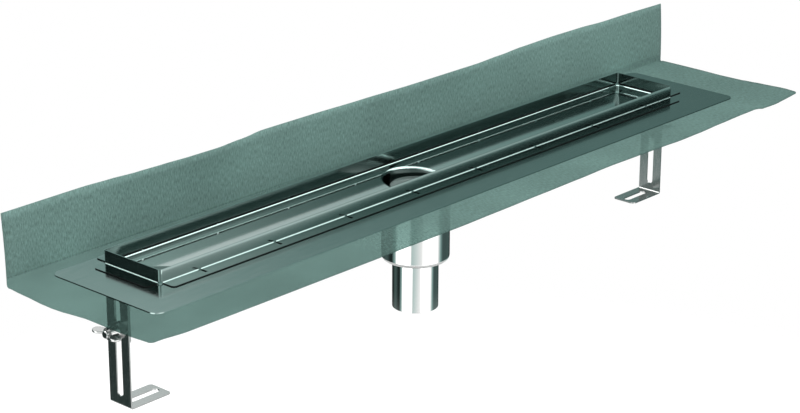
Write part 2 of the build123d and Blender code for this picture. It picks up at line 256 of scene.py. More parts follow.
@dataclass(frozen=True)
class FleeceFinish:
    """Sealing fleece: a film between two layers of pressed fibre, matt and a little see-through.

    Attributes:
        name: the material's name.
        colour: sRGB hex of the fibre.
        fibre_mm: a fibre's width as drawn.
        fibre_length_mm: a fibre's length as drawn.
        clear_knots: pairs of place along X in millimetres and how much of the film shows there.
        fibre_contrast: how far a fibre lightens and darkens the cloth.
        patch_mm: the width of the patches where more or less fibre was laid.
        patch_contrast: how far the patches change the tone.
        clear_below: the height in metres below which the film shows, under the steel.
        opaque_above: the height in metres above which it doesn't.
        roughness: the roughness of the matt fibre.
        specular: the level of its faint shine.
        relief_mm: the height of a fibre.
        relief_strength: how much of that height shows.
    """

    name: str
    colour: str
    fibre_mm: float
    fibre_length_mm: float
    clear_knots: Knots
    fibre_contrast: float = 0.34
    patch_mm: float = 90.0
    patch_contrast: float = 0.07
    clear_below: float = 0.137
    opaque_above: float = 0.140
    roughness: float = 0.9
    specular: float = 0.15
    relief_mm: float = 0.4
    relief_strength: float = 0.6

    def material(self) -> bpy.types.Material:
        """Build the fleece: short fibres in its tone and height, and a film that lets light by."""
        material, tree, out = new_material(self.name)
        place = add_node(tree, "ShaderNodeTexCoord")
        split = add_node(tree, "ShaderNodeSeparateXYZ", in_Vector=place.outputs["Object"])
        reach = add_node(
            tree, "ShaderNodeMath", operation="ADD", in_0=split.outputs[1], in_1=split.outputs[2]
        )
        across = add_node(
            tree,
            "ShaderNodeMath",
            operation="MULTIPLY",
            in_0=split.outputs[0],
            in_1=1 / (self.fibre_mm * MM),
        )
        along = add_node(
            tree,
            "ShaderNodeMath",
            operation="MULTIPLY",
            in_0=reach.outputs[0],
            in_1=1 / (self.fibre_length_mm * MM),
        )
        weave_at = add_node(
            tree, "ShaderNodeCombineXYZ", in_X=across.outputs[0], in_Y=along.outputs[0]
        )
        fibres = add_node(
            tree,
            "ShaderNodeTexNoise",
            in_Vector=weave_at.outputs[0],
            in_Scale=1.0,
            in_Detail=4.0,
            in_Roughness=0.6,
        )
        patches = add_node(
            tree,
            "ShaderNodeTexNoise",
            in_Vector=place.outputs["Object"],
            in_Scale=1 / (self.patch_mm * MM),
        )
        fibre_tone = add_node(
            tree,
            "ShaderNodeMapRange",
            in_Value=fibres.outputs["Fac"],
            in_1=NOISE_LOW,
            in_2=NOISE_HIGH,
            in_3=1 - self.fibre_contrast,
            in_4=1 + self.fibre_contrast,
        )
        patch_tone = add_node(
            tree,
            "ShaderNodeMapRange",
            in_Value=patches.outputs["Fac"],
            in_1=NOISE_LOW,
            in_2=NOISE_HIGH,
            in_3=1 - self.patch_contrast,
            in_4=1 + self.patch_contrast,
        )
        tone = add_node(
            tree,
            "ShaderNodeMath",
            operation="MULTIPLY",
            in_0=fibre_tone.outputs[0],
            in_1=patch_tone.outputs[0],
        )
        colour = add_node(
            tree,
            "ShaderNodeVectorMath",
            operation="SCALE",
            in_0=linear(self.colour)[:3],
            in_Scale=tone.outputs[0],
        )
        bump = add_node(
            tree,
            "ShaderNodeBump",
            in_Strength=self.relief_strength,
            in_Distance=self.relief_mm * MM,
            in_Height=fibres.outputs["Fac"],
        )
        cloth = add_node(
            tree,
            "ShaderNodeBsdfPrincipled",
            in_Base_Color=colour.outputs[0],
            in_Roughness=self.roughness,
            in_Specular_IOR_Level=self.specular,
            in_Normal=bump.outputs[0],
        )
        film_tone = add_node(
            tree,
            "ShaderNodeVectorMath",
            operation="SCALE",
            in_0=[math.sqrt(part) for part in linear(self.colour)[:3]],
            in_Scale=patch_tone.outputs[0],
        )
        film = add_node(tree, "ShaderNodeBsdfTransparent", in_Color=film_tone.outputs[0])
        first, last = self.clear_knots[0][0], self.clear_knots[-1][0]
        run = add_node(
            tree,
            "ShaderNodeMapRange",
            in_Value=split.outputs[0],
            in_1=first * MM,
            in_2=last * MM,
        )
        thin = add_node(tree, "ShaderNodeValToRGB", in_Fac=run.outputs[0])
        stops = thin.color_ramp.elements
        for index, (at, share) in enumerate(self.clear_knots):
            along_run = (at - first) / (last - first)
            stop = stops[index] if index < 2 else stops.new(along_run)
            stop.position = along_run
            stop.color = (share, share, share, 1.0)
        level = add_node(
            tree,
            "ShaderNodeMapRange",
            in_Value=split.outputs[2],
            in_1=self.clear_below,
            in_2=self.opaque_above,
            in_3=1.0,
            in_4=0.0,
        )
        clear = add_node(
            tree,
            "ShaderNodeMath",
            operation="MULTIPLY",
            in_0=thin.outputs[0],
            in_1=level.outputs[0],
        )
        both = add_node(
            tree,
            "ShaderNodeMixShader",
            in_0=clear.outputs[0],
            in_1=cloth.outputs[0],
            in_2=film.outputs[0],
        )
        tree.links.new(both.outputs[0], out.inputs["Surface"])
        return material


@dataclass(frozen=True)
class MouldedFinish:
    """A moulded polymer part, such as grey polypropylene or black rubber.

    Attributes:
        name: the material's name.
        colour: sRGB hex of the polymer.
        roughness: the mean roughness of its skin.
        ior: the polymer's index of refraction.
        skin_mm: the width of the skin's unevenness.
        skin_contrast: how far that changes the roughness.
        relief_mm: the height of the unevenness.
        relief_strength: how much of that height shows.
    """

    name: str
    colour: str
    roughness: float
    ior: float
    skin_mm: float = 1.5
    skin_contrast: float = 0.15
    relief_mm: float = 0.05
    relief_strength: float = 0.3

    def material(self) -> bpy.types.Material:
        """Build the polymer: one colour with a faint moulded unevenness."""
        material, tree, out = new_material(self.name)
        place = add_node(tree, "ShaderNodeTexCoord")
        skin = add_node(
            tree,
            "ShaderNodeTexNoise",
            in_Vector=place.outputs["Object"],
            in_Scale=1 / (self.skin_mm * MM),
        )
        rough = add_node(
            tree,
            "ShaderNodeMapRange",
            in_Value=skin.outputs["Fac"],
            in_1=NOISE_LOW,
            in_2=NOISE_HIGH,
            in_3=self.roughness * (1 - self.skin_contrast),
            in_4=self.roughness * (1 + self.skin_contrast),
        )
        bump = add_node(
            tree,
            "ShaderNodeBump",
            in_Strength=self.relief_strength,
            in_Distance=self.relief_mm * MM,
            in_Height=skin.outputs["Fac"],
        )
        shader = add_node(
            tree,
            "ShaderNodeBsdfPrincipled",
            in_Base_Color=linear(self.colour),
            in_IOR=self.ior,
            in_Roughness=rough.outputs[0],
            in_Normal=bump.outputs[0],
        )
        tree.links.new(shader.outputs[0], out.inputs["Surface"])
        return material


# The marks on the steel are drawn about 1 mm wide, coarser than real ones, so that they show.

# Cold-rolled satin sheet: soft, slightly dark reflections, drawn out along the channel.
SATIN_SHEET = SteelFinish(
    "satin_stainless_sheet", "899996", 0.13, Grain.ALONG_CHANNEL, 0.8, 0.03, 0.004
)
# The trough's pressed floor is smoother than the flange that the sealing compound has to grip.
PRESSED_TROUGH = SteelFinish(
    "pressed_stainless_floor", "899996", 0.12, Grain.ALONG_CHANNEL, 0.8, 0.02, 0.002
)
# Bright strip where its wall is bowed by the bending: sharp reflections, darker towards its foot.
BOWED_STRIP = SteelFinish(
    "bowed_stainless_strip", "899996", 0.10, Grain.ALONG_CHANNEL, 0.8, 0.02, 0.002, bow=5.5
)
# Bright strip elsewhere: the same reflections from flat walls.
BRIGHT_STRIP = SteelFinish(
    "bright_stainless_strip", "899996", 0.12, Grain.ALONG_CHANNEL, 0.8, 0.02, 0.002
)
# Nearly black steel for the sheared edges of the strip's feet and its weep slots: partly a duller
# cut edge, mostly painted shadow of the gaps there. It is also painted shade in the turn under the
# rim's walls.
SHEARED_EDGE_AND_PAINTED_SHADE = SteelFinish(
    "sheared_edge_and_painted_shade", "181919", 0.5, Grain.NONE, 0.8, 0.05, 0.004
)
# Drawn and polished pipe: near mirror, with faint rings.
POLISHED_PIPE = SteelFinish(
    "polished_drawn_stainless", "CDCECD", 0.06, Grain.ROUND_PIPE, 1.2, 0.02, 0.003
)
# Mill finish of the legs: duller, with upright rolling marks.
MILL_SHEET = SteelFinish(
    "mill_finish_stainless", "A9AAA9", 0.18, Grain.ROLLED_UPRIGHT, 0.8, 0.04, 0.004
)
# Cold-formed fasteners: bright, with a fine unevenness.
BRIGHT_FASTENER = SteelFinish(
    "bright_cold_formed_stainless", "A6A7A6", 0.16, Grain.NONE, 0.8, 0.03, 0.003
)
# Pressed fleece: fibres 1.2 mm wide and 5 mm long, drawn coarser than real ones so that they show.
PRESSED_FLEECE = FleeceFinish(
    "pressed_sealing_fleece",
    "6D8A84",
    1.2,
    5.0,
    ((-501, 0.88), (-380, 0.86), (-60, 0.48), (60, 0.48), (380, 0.5), (512, 0.5)),
)
# Moulded polypropylene of the trap: grey, with a soft shine.
TRAP_GREY = MouldedFinish("grey_moulded_polypropylene", "525C5A", 0.22, 1.49)
# Moulded rubber of the seal: nearly black and matt.
RING_RUBBER = MouldedFinish("black_moulded_rubber", "181A1A", 0.55, 1.52)


@dataclass(frozen=True)
class Zone:
    """A part of a piece's surface with a finish of its own.

    Attributes:
        holds: tells from a face's middle and its normal whether the face is in the zone.
        material: the finish there.
    """

    holds: Callable[[Vector, Vector], bool]
    material: bpy.types.Material


# Lengths in metres that bound the zones: the rim is 800 by 80 mm and stands on the flange at 130.
RIM_HALF_LENGTH = 400 * MM
RIM_HALF_WIDTH = 40 * MM
FLANGE_TOP = 130 * MM


def in_trough(middle: Vector, _normal: Vector) -> bool:
    """Tell whether a face lies in the trough, inside the rim.

    Args:
        middle: the face's middle.
        _normal: its normal, which doesn't matter here.

    Returns:
        Whether it does.
    """
    within = abs(middle.x) < RIM_HALF_LENGTH - 1 * MM and abs(middle.y) < RIM_HALF_WIDTH - 1 * MM
    return within and middle.z < FLANGE_TOP + 0.5 * MM


def on_foot_edge_or_painted_shade(middle: Vector, normal: Vector) -> bool:
    """Tell whether a face takes the painted shade: a sheared edge of the rim's feet or a slot wall,
    darkened as painted shadow of the gap there, or the turn under a wall's heel behind one,
    darkened as painted shade.

    Args:
        middle: the face's middle.
        normal: its normal.

    Returns:
        Whether it is.
    """
    slack = 0.5 * MM
    above = middle.z - FLANGE_TOP
    if abs(middle.x) < RIM_HALF_LENGTH + slack and abs(middle.y) < RIM_HALF_WIDTH + slack:
        # Inside the rim: the turn under a wall's heel, painted dark as its shade.
        return above < 2.2 * MM and normal.z < -0.02
    # Outside the rim: the feet's cut edges and slot walls, painted dark as the shadow of the gap
    # under them.
    return above < 1.2 * MM and abs(normal.z) < 0.3


def on_front_wall(middle: Vector, normal: Vector) -> bool:
    """Tell whether a face is the outside of the rim's front wall.

    Args:
        middle: the face's middle.
        normal: its normal.

    Returns:
        Whether it is.
    """
    outermost = middle.y < -(RIM_HALF_WIDTH - 0.5 * MM)
    return outermost and normal.y < -0.9 and middle.z > FLANGE_TOP + 1.2 * MM


# Two faces that meet at more than this angle, in degrees, keep a crease between them.
CREASE = 28


def refined(
    node: str, body: str, material: bpy.types.Material, slot: str, *zones: Zone
) -> None:
    """Stand a merged, smooth-shaded copy of a CAD node in its place.

    Args:
        node: the CAD node's name.
        body: the body that it rides on.
        material: its finish.
        slot: the record's material slot; not used.
        *zones: the parts of its surface that have a finish of their own.
    """
    mesh = bpy.data.meshes.new(f"{node}_skin")
    shape = bmesh.new()
    shape.from_mesh(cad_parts[node].data)
    bmesh.ops.remove_doubles(shape, verts=shape.verts, dist=0.001 * MM)
    bmesh.ops.recalc_face_normals(shape, faces=shape.faces)
    for face in shape.faces:
        face.smooth = True
        middle, normal = face.calc_center_median(), face.normal
        face.material_index = next(
            (index for index, zone in enumerate(zones, 1) if zone.holds(middle, normal)), 0
        )
    for edge in shape.edges:
        edge.smooth = edge.is_manifold and edge.calc_face_angle(0.0) < math.radians(CREASE)
    shape.to_mesh(mesh)
    shape.free()
    mesh.materials.append(material)
    for zone in zones:
        mesh.materials.append(zone.material)
    piece = bpy.data.objects.new(f"{node}_finished", mesh)
    bpy.context.scene.collection.objects.link(piece)
    even = piece.modifiers.new("even_shading", "WEIGHTED_NORMAL")
    even.keep_sharp = True
    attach(piece, body)
    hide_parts(node)
    LOG.info("%s: %d faces", piece.name, len(mesh.polygons))


@dataclass
class Channel:
    """The sheet-steel channel with its rim.

    Attributes:
        body: the body that it belongs to.
    """

    body: str = "channel"

    def build(self) -> None:
        """Dress the channel and the rim."""
        floor = Zone(in_trough, PRESSED_TROUGH.material())
        zones = (
            # The nearly black zone is partly the duller cut edges of the feet and mostly painted
            # shade: painted shadow in the gaps under the feet and in the weep slots, and painted
            # shade in the turn under the walls.
            Zone(on_foot_edge_or_painted_shade, SHEARED_EDGE_AND_PAINTED_SHADE.material()),
            Zone(on_front_wall, BOWED_STRIP.material()),
        )
        refined("channel_body", self.body, SATIN_SHEET.material(), "channel_steel", floor)
        refined("upstand_frame", self.body, BRIGHT_STRIP.material(), "upstand_steel", *zones)


@dataclass
class Outlet:
    """The socket and the spigot, and the trap inside them.

    Attributes:
        body: the body that they belong to.
    """

    body: str = "channel"

    def build(self) -> None:
        """Dress the pipe and the trap."""
        pipe = POLISHED_PIPE.material()
        plastic = TRAP_GREY.material()
        for node in ("outlet_socket", "outlet_spigot"):
            refined(node, self.body, pipe, "outlet_steel")
        for node in ("trap_bell", "trap_standpipe"):
            refined(node, self.body, plastic, "trap_plastic")
        refined("trap_seal_ring", self.body, RING_RUBBER.material(), "trap_rubber")


class End(Enum):
    """The two ends of the channel, as the nodes and bodies name them."""

    LEFT = "left"
    RIGHT = "right"


@dataclass
class LegSet:
    """One end's lug, leg and fasteners.

    Attributes:
        end: the end of the channel.
        sheet: the steel of the lug and the leg.
        fastener: the steel of the bolt, the washers and the wing nut.
    """

    end: End
    sheet: bpy.types.Material
    fastener: bpy.types.Material

    def build(self) -> None:
        """Dress the pieces of this end."""
        end = self.end.value
        refined(f"lug_{end}", "channel", self.sheet, "leg_steel")
        refined(f"leg_{end}", f"leg_{end}", self.sheet, "leg_steel")
        for node in ("clamp_bolt", "head_washer", "slot_washer", "spring_washer"):
            refined(f"{node}_{end}", "channel", self.fastener, "fastener_steel")
        refined(f"wing_nut_{end}", f"wing_nut_{end}", self.fastener, "fastener_steel")


@dataclass
class SealingSheet:
    """The fleece: a flat cut with a window, folded up behind the flange, wavy where it is free.

    All lengths are in millimetres. The front edge is at front, and the sheet's own length runs
    from there back to the fold and up to its top.

    Attributes:
        left: the place of its left edge along X.
        right: the place of its right edge.
        front: the place of its front edge along Y.
        bond_plane: the height of its middle where the flange holds it.
        fold_start: the place along Y where the fold starts.
        fold_radius: the radius of the fold.
        fold_steps: the steps that the fold is drawn in.
        wall_top: the height of its upper edge.
        thickness: the thickness of the fleece.
        flange_end: how far the flange reaches along X, to both sides.
        flange_front: the place of the flange's front edge along Y.
        window: the edges of the window under the channel: left, right, front and rear.
        cell: the size of a face of the flat cut.
        corner: the radius of its front corners.
        corner_steps: the steps that a corner is drawn in.
        slack: how near a point counts as on an edge.
        front_lift: how high the front edge stands along X.
        left_lift: how high the left edge stands along Y.
        right_lift: how high the right edge stands along Y.
        top_lean: how far the upper edge leans back along X.
    """

    left: float = -501.0
    right: float = 512.0
    front: float = -140.0
    bond_plane: float = 128.3
    fold_start: float = 55.5
    fold_radius: float = 4.0
    fold_steps: int = 8
    wall_top: float = 202.0
    thickness: float = 1.0
    flange_end: float = 452.0
    flange_front: float = -92.0
    window: tuple[float, float, float, float] = (-425.0, 425.0, -65.0, 42.5)
    cell: float = 8.0
    corner: float = 5.0
    corner_steps: int = 4
    slack: float = 0.01
    front_lift: Knots = (
        (-501, 1.5), (-490, 1.8), (-460, 1.0), (-390, 0.7), (-315, 0.5), (-210, 0.2), (-90, 0.0),
        (-28, 0.6), (36, 1.3), (100, 1.9), (154, 2.8), (205, 2.2), (252, 1.5), (280, 0.8),
        (317, 1.1), (356, 2.3), (400, 3.2), (426, 3.3), (442, 0.6), (470, 0.0), (486, 1.0),
        (512, 2.5),
    )
    left_lift: Knots = (
        (-140, 1.5), (-116, 1.2), (-54, 1.7), (-42, 1.0), (-31, -0.1), (-19, -1.1), (-6, -1.7),
        (8, -1.5), (32, -0.1), (42, 0.4), (57, 1.4),
    )
    right_lift: Knots = (
        (-140, 1.2), (-115, 3.1), (-101, 3.5), (-87, 3.3), (-73, 2.6), (-58, 1.9), (-30, 1.7),
        (0, 2.2), (30, 2.4), (45, 2.4),
    )
    top_lean: Knots = (
        (-500, 3.5), (-400, 4.5), (-371, 2.5), (-338, -1.0), (-304, -2.5), (-270, -4.5),
        (-235, -5.0), (-199, -1.5), (-162, 4.0), (-100, 3.5), (-20, 1.0), (60, -1.5), (162, -1.5),
        (207, 1.5), (253, 5.5), (310, 7.5), (360, 7.0), (400, 4.0), (448, 4.5), (512, 3.0),
    )

    def sweep(self) -> float:
        """Give the length of the fold's arc."""
        return self.fold_radius * math.pi / 2

    def flat_length(self) -> float:
        """Give the cut's length from its front edge over the fold to its top."""
        level = self.fold_start - self.front
        upright = self.wall_top - self.bond_plane - self.fold_radius
        return level + self.sweep() + upright

    def lift(self, x: float, y: float) -> float:
        """Give how far the free apron stands above the bonded plane.

        Args:
            x: the place along the channel.
            y: the place across it.

        Returns:
            The height in millimetres, none where the flange holds the sheet.
        """
        ahead = ease((self.flange_front - y) / (self.flange_front - self.front))
        leftward = ease((-self.flange_end - x) / (-self.flange_end - self.left))
        rightward = ease((x - self.flange_end) / (self.right - self.flange_end))
        return (
            ahead * wave(self.front_lift, x)
            + leftward * wave(self.left_lift, y)
            + rightward * wave(self.right_lift, y)
        )

    def place(self, x: float, along: float) -> Vector:
        """Bend a point of the flat cut into place.

        Args:
            x: the place along the channel.
            along: the distance from the front edge.

        Returns:
            The point in metres.
        """
        y = self.front + along
        if y <= self.fold_start:
            return Vector((x, y, self.bond_plane + self.lift(x, y))) * MM
        beyond = y - self.fold_start
        end_lift = self.lift(x, self.fold_start)
        if beyond <= self.sweep():
            angle = beyond / self.fold_radius
            y = self.fold_start + self.fold_radius * math.sin(angle)
            z = self.bond_plane + self.fold_radius * (1 - math.cos(angle))
            return Vector((x, y, z + end_lift * (1 - math.sin(angle)))) * MM
        height = beyond - self.sweep()
        upright = self.wall_top - self.bond_plane - self.fold_radius
        share = height / upright
        y = self.fold_start + self.fold_radius + wave(self.top_lean, x) * share * share
        return Vector((x, y, self.bond_plane + self.fold_radius + height)) * MM

    def mesh(self) -> bpy.types.Mesh:
        """Cut the sheet and its window out of a grid, and bend it."""
        width = self.right - self.left
        length = self.flat_length()
        shape = bmesh.new()
        bmesh.ops.create_grid(
            shape,
            x_segments=round(width / self.cell),
            y_segments=round(length / self.cell),
            size=0.5,
        )
        bmesh.ops.scale(shape, verts=shape.verts, vec=(width, length, 1.0))
        middle = ((self.left + self.right) / 2, length / 2, 0.0)
        bmesh.ops.translate(shape, verts=shape.verts, vec=middle)
        left, right, near, far = self.window
        near, far = near - self.front, far - self.front
        fold = self.fold_start - self.front
        lines = [((left, 0, 0), (1, 0, 0)), ((right, 0, 0), (1, 0, 0))]
        lines += [((0, near, 0), (0, 1, 0)), ((0, far, 0), (0, 1, 0))]
        for step in range(self.fold_steps + 1):
            lines.append(((0, fold + self.sweep() * step / self.fold_steps, 0), (0, 1, 0)))
        for point, normal in lines:
            everything = shape.verts[:] + shape.edges[:] + shape.faces[:]
            bmesh.ops.bisect_plane(
                shape, geom=everything, dist=self.slack, plane_co=point, plane_no=normal
            )
        middles = ((face, face.calc_center_median()) for face in shape.faces)
        inside = [face for face, at in middles if left < at.x < right and near < at.y < far]
        bmesh.ops.delete(shape, geom=inside, context="FACES")
        low, high = self.left + self.slack, self.right - self.slack
        front = [vert for vert in shape.verts if vert.co.y < self.slack]
        tips = [vert for vert in front if vert.co.x < low or vert.co.x > high]
        bmesh.ops.bevel(
            shape,
            geom=tips,
            offset=self.corner,
            offset_type="OFFSET",
            affect="VERTICES",
            segments=self.corner_steps,
            profile=0.5,
            material=-1,
        )
        for vert in shape.verts:
            vert.co = self.place(vert.co.x, vert.co.y)
        for face in shape.faces:
            face.smooth = True
        bmesh.ops.recalc_face_normals(shape, faces=shape.faces)
        mesh = bpy.data.meshes.new("sealing_sheet")
        shape.to_mesh(mesh)
        shape.free()
        return mesh

    def build(self) -> None:
        piece = bpy.data.objects.new("sealing_sheet", self.mesh())
        bpy.context.scene.collection.objects.link(piece)
        thick = piece.modifiers.new("thickness", "SOLIDIFY")
        thick.thickness = self.thickness * MM
        thick.offset = 0.0
        piece.data.materials.append(PRESSED_FLEECE.material())
        piece.visible_glossy = False
        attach(piece, "channel")
        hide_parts("sealing_fleece")


@dataclass(frozen=True)
class Belt:
    """The studio at one height, as shiny surfaces see it: strip lights, white card and dark gaps.

    Attributes:
        elevation: degrees above the horizon.
        levels: pairs of azimuth, in degrees from +X towards +Y, and brightness.
    """

    elevation: float
    levels: Knots


# The large bright panels high up, with darker gaps between them.
HIGH_PANELS: Knots = (
    (-180, 2.0), (-150, 1.0), (-110, 1.0), (-60, 5.0), (-45, 5.0), (17, 6.0), (36, 0.9), (90, 1.0),
    (108, 8.0), (130, 8.0), (150, 3.0), (180, 2.0),
)


@dataclass
class Studio:
    """The pale floor, the white surroundings, the lamps and the camera.

    Attributes:
        floor_level: the height of the floor in metres.
        floor_radius: the radius of the floor.
        floor_fades_from: the share of the radius where the floor starts to fade out.
        floor_ends_at: the share of the radius where it has gone.
        floor_white: how white the card of the floor is.
        floor_lift: what the camera sees added to it, so that it meets the white around it.
        diffuse_fill: the level of the surroundings for matt surfaces.
        belts: the surroundings for shiny surfaces, from the lowest up.
        full_level: the level that a belt's ramp counts as one.
        room_hue: sRGB hex of the dim parts of the surroundings.
        hue_fades_from: the level up to which that hue is full.
        hue_ends_at: the level from which the surroundings are white.
        camera_azimuth: degrees that the camera stands round from -Y towards +X.
        camera_elevation: degrees that it stands above the horizon.
        camera_roll: degrees that it is turned about its own axis.
        camera_distance: its distance from the target in metres.
        camera_target: the point that it looks at.
        focal_px: its focal length in pixels.
        principal_px: the pixel on its axis.
        frame_px: the size of the picture in pixels.
        lamp_aim: the point that the lamps look at.
        lamp_size: the side of a lamp in metres.
    """

    floor_level: float = -0.35
    floor_radius: float = 0.9
    floor_fades_from: float = 0.55
    floor_ends_at: float = 0.98
    floor_white: float = 0.9
    floor_lift: float = 0.5
    diffuse_fill: float = 0.66
    belts: tuple[Belt, ...] = (
        Belt(-60.0, ((-180, 1.0), (180, 1.0))),
        Belt(
            -36.0,
            (
                (-180, 2.6), (-60, 2.6), (-40, 1.6), (20, 0.8), (100, 0.2), (140, 0.2), (150, 1.6),
                (180, 2.6),
            ),
        ),
        Belt(
            -22.0,
            (
                (-180, 3.0), (-159, 3.0), (-150, 0.8), (-136, 1.0), (-116, 1.3), (-107, 2.2),
                (-61, 2.0), (-48, 0.75), (-42, 0.4), (-33, 0.13), (-15, 0.12), (3, 0.13),
                (24, 0.03), (85, 0.03), (100, 0.14), (112, 0.13), (125, 0.04), (137, 0.02),
                (143, 0.35), (148, 0.5), (152, 1.0), (157, 2.4), (163, 3.0), (180, 3.0),
            ),
        ),
        Belt(
            -10.0,
            (
                (-180, 3.0), (-159, 3.0), (-150, 1.0), (-136, 1.0), (-116, 1.5), (-107, 3.0),
                (-61, 2.0), (-49, 1.0), (-47.5, 0.9), (-45.5, 0.6), (-43.5, 0.45), (-41.5, 0.3),
                (-39.6, 0.2), (-37.6, 0.14), (-33, 0.1), (12, 0.15), (60, 0.3), (105, 0.08),
                (128, 0.03), (139, 0.06), (145, 0.4), (150, 0.5), (157, 2.4), (163, 3.0),
                (180, 3.0),
            ),
        ),
        Belt(
            -4.0,
            (
                (-180, 3.0), (-159, 3.0), (-150, 1.0), (-136, 1.0), (-116, 1.5), (-107, 3.0),
                (-61, 3.2), (-49, 2.9), (-47.5, 2.7), (-45.5, 2.3), (-43.5, 2.0), (-41.5, 1.7),
                (-39.6, 1.4), (-37.6, 1.15), (-33, 0.6), (-15, 0.15), (12, 0.15), (60, 0.3),
                (105, 0.1), (128, 0.03), (139, 0.06), (145, 0.4), (150, 0.5), (157, 2.4),
                (163, 3.0), (180, 3.0),
            ),
        ),
        Belt(
            12.0,
            (
                (-180, 3.0), (-150, 1.0), (-136, 1.0), (-116, 1.2), (-107, 1.5), (-60, 1.6),
                (-48, 1.1), (-46.5, 0.65), (-44.5, 0.22), (-41.5, 0.1), (-38, 0.05), (-33, 0.05),
                (0, 0.1), (34, 0.24), (38, 0.28), (41.5, 0.28), (45, 0.33), (48, 0.4), (60, 0.6),
                (90, 0.5), (105, 0.1), (128, 0.03), (139, 0.1), (145, 0.5), (160, 3.0),
                (180, 3.0),
            ),
        ),
        Belt(
            21.0,
            (
                (-180, 3.0), (-150, 1.0), (-136, 1.0), (-116, 1.2), (-107, 1.5), (-60, 2.0),
                (-48, 1.35), (-46.5, 0.8), (-44.5, 0.32), (-41.5, 0.14), (-39.6, 0.08),
                (-37.6, 0.05), (-33, 0.05), (0, 0.1), (34, 0.27), (38, 0.32), (41.5, 0.31),
                (45, 0.34), (47.5, 0.41), (50, 0.46), (60, 0.7), (90, 0.5), (105, 0.1),
                (128, 0.03), (139, 0.1), (145, 0.5), (160, 3.0), (180, 3.0),
            ),
        ),
        Belt(
            27.0,
            (
                (-180, 3.0), (-150, 1.0), (-136, 1.0), (-116, 1.2), (-107, 1.5), (-60, 3.0),
                (-48, 3.2), (-46, 2.5), (-44.3, 1.9), (-42.3, 1.1), (-40.3, 0.65), (-38.3, 0.35),
                (-36.4, 0.33), (-33, 0.2), (0, 0.2), (30, 0.5), (34.4, 0.65), (36.4, 0.76),
                (38.3, 0.94), (40.3, 1.2), (42.3, 1.3), (44.3, 1.5), (48, 1.6), (60, 2.0),
                (90, 1.0), (105, 0.12), (128, 0.05), (140, 0.3), (150, 1.5), (160, 3.0),
                (180, 3.0),
            ),
        ),
        Belt(
            36.0,
            (
                (-180, 3.0), (-150, 1.0), (-110, 1.0), (-60, 2.5), (-45, 2.6), (-36, 0.7),
                (0, 0.5), (20, 0.5), (36, 0.8), (48, 1.6), (60, 2.0), (90, 1.0), (105, 0.3),
                (130, 0.3), (150, 1.5), (180, 3.0),
            ),
        ),
        Belt(42.0, HIGH_PANELS),
        Belt(52.0, HIGH_PANELS),
        Belt(75.0, ((-180, 2.0), (180, 2.0))),
    )
    full_level: float = 8.0
    room_hue: str = "CEFFF9"
    hue_fades_from: float = 0.4
    hue_ends_at: float = 1.3
    camera_azimuth: float = -47.527
    camera_elevation: float = 19.613
    camera_roll: float = 0.185
    camera_distance: float = 2.46923
    camera_target: tuple[float, float, float] = (-0.05922, -0.02693, 0.130)
    focal_px: float = 2384.76
    principal_px: tuple[float, float] = (396.89, 191.59)
    frame_px: tuple[int, int] = (800, 413)
    lamp_aim: tuple[float, float, float] = (0.0, 0.0, 0.1)
    lamp_size: float = 1.4

    def belt_level(self, tree: bpy.types.NodeTree, belt: Belt, around: Any) -> Any:
        """Read one belt's brightness round the studio.

        Args:
            tree: the world's node tree.
            belt: the belt.
            around: the socket of the turn, from 0 to 1.

        Returns:
            The socket of the brightness, as a share of the full level.
        """
        ramp = add_node(tree, "ShaderNodeValToRGB", in_Fac=around)
        stops = ramp.color_ramp.elements
        for index, (azimuth, level) in enumerate(belt.levels):
            place = azimuth / 360 + 0.5
            stop = stops[index] if index < 2 else stops.new(place)
            stop.position = place
            stop.color = (*[level / self.full_level] * 3, 1.0)
        return ramp.outputs[0]

    def world(self) -> None:
        """Make the surroundings: white to the camera, and belts of light to shiny surfaces."""
        world = bpy.data.worlds.new("white_studio")
        bpy.context.scene.world = world
        world.use_nodes = True
        tree = world.node_tree
        tree.nodes.clear()
        place = add_node(tree, "ShaderNodeTexCoord")
        ray = add_node(tree, "ShaderNodeSeparateXYZ", in_Vector=place.outputs["Generated"])
        turn = add_node(
            tree, "ShaderNodeMath", operation="ARCTAN2", in_0=ray.outputs[1], in_1=ray.outputs[0]
        )
        around = add_node(
            tree,
            "ShaderNodeMapRange",
            in_Value=turn.outputs[0],
            in_1=-math.pi,
            in_2=math.pi,
            in_3=0.0,
            in_4=1.0,
        )
        height = add_node(tree, "ShaderNodeMath", operation="ARCSINE", in_0=ray.outputs[2])
        total = self.belt_level(tree, self.belts[0], around.outputs[0])
        for below, above in zip(self.belts, self.belts[1:]):
            rise = add_node(
                tree,
                "ShaderNodeMapRange",
                in_Value=height.outputs[0],
                in_1=math.radians(below.elevation),
                in_2=math.radians(above.elevation),
            )
            total = add_node(
                tree,
                "ShaderNodeMix",
                in_0=rise.outputs[0],
                in_2=total,
                in_3=self.belt_level(tree, above, around.outputs[0]),
            ).outputs[0]
        full = add_node(
            tree, "ShaderNodeMath", operation="MULTIPLY", in_0=total, in_1=self.full_level
        )
        path = add_node(tree, "ShaderNodeLightPath")
        shiny = add_node(
            tree,
            "ShaderNodeMix",
            in_0=path.outputs["Is Glossy Ray"],
            in_2=self.diffuse_fill,
            in_3=full.outputs[0],
        )
        seen = add_node(
            tree,
            "ShaderNodeMath",
            operation="MAXIMUM",
            in_0=path.outputs["Is Camera Ray"],
            in_1=path.outputs["Is Transmission Ray"],
        )
        level = add_node(
            tree, "ShaderNodeMix", in_0=seen.outputs[0], in_2=shiny.outputs[0], in_3=1.0
        )
        dim = add_node(
            tree,
            "ShaderNodeMapRange",
            in_Value=full.outputs[0],
            in_1=self.hue_fades_from,
            in_2=self.hue_ends_at,
            in_3=1.0,
            in_4=0.0,
        )
        tinted = add_node(
            tree,
            "ShaderNodeMath",
            operation="MULTIPLY",
            in_0=dim.outputs[0],
            in_1=path.outputs["Is Glossy Ray"],
        )
